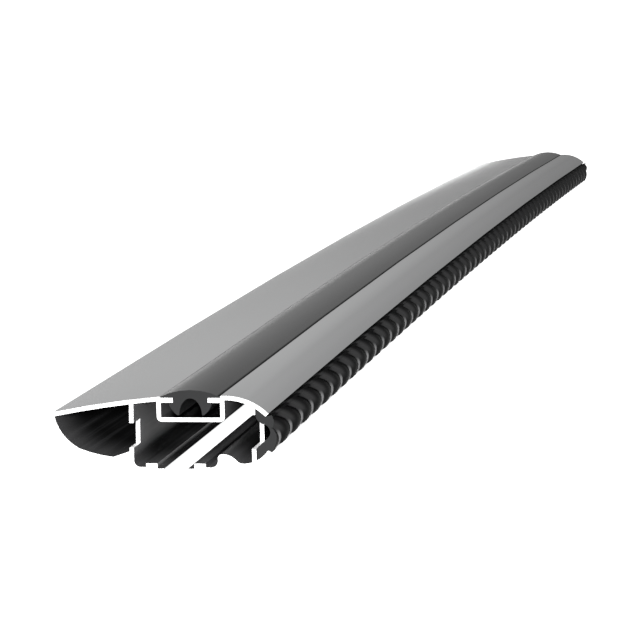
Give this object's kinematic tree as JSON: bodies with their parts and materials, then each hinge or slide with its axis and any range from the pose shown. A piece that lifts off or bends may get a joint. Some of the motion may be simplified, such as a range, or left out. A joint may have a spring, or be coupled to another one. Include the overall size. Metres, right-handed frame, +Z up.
{
  "type": "roof rack crossbar",
  "caption": "Arched wing-section aluminium roof rack crossbar with a rubber infill strip in its top slot, a ribbed rubber nose strip and an underside fixing channel.",
  "frame": {"origin": "middle of the bar's length and width, at the level of the underside of its two ends", "axes": "+X along the bar, away from the end seen in the picture; +Y towards the thin tail; +Z up"},
  "size_m": [1.1658, 0.0797, 0.0322],
  "materials": {
    "anodised_aluminium": "satin anodised",
    "infill_rubber": "matt",
    "nose_rubber": "matt"
  },
  "bodies": {
    "root": {"bar_extrusion": "anodised_aluminium", "infill_strip": "infill_rubber", "nose_strip": "nose_rubber"}
  },
  "joints": []
}
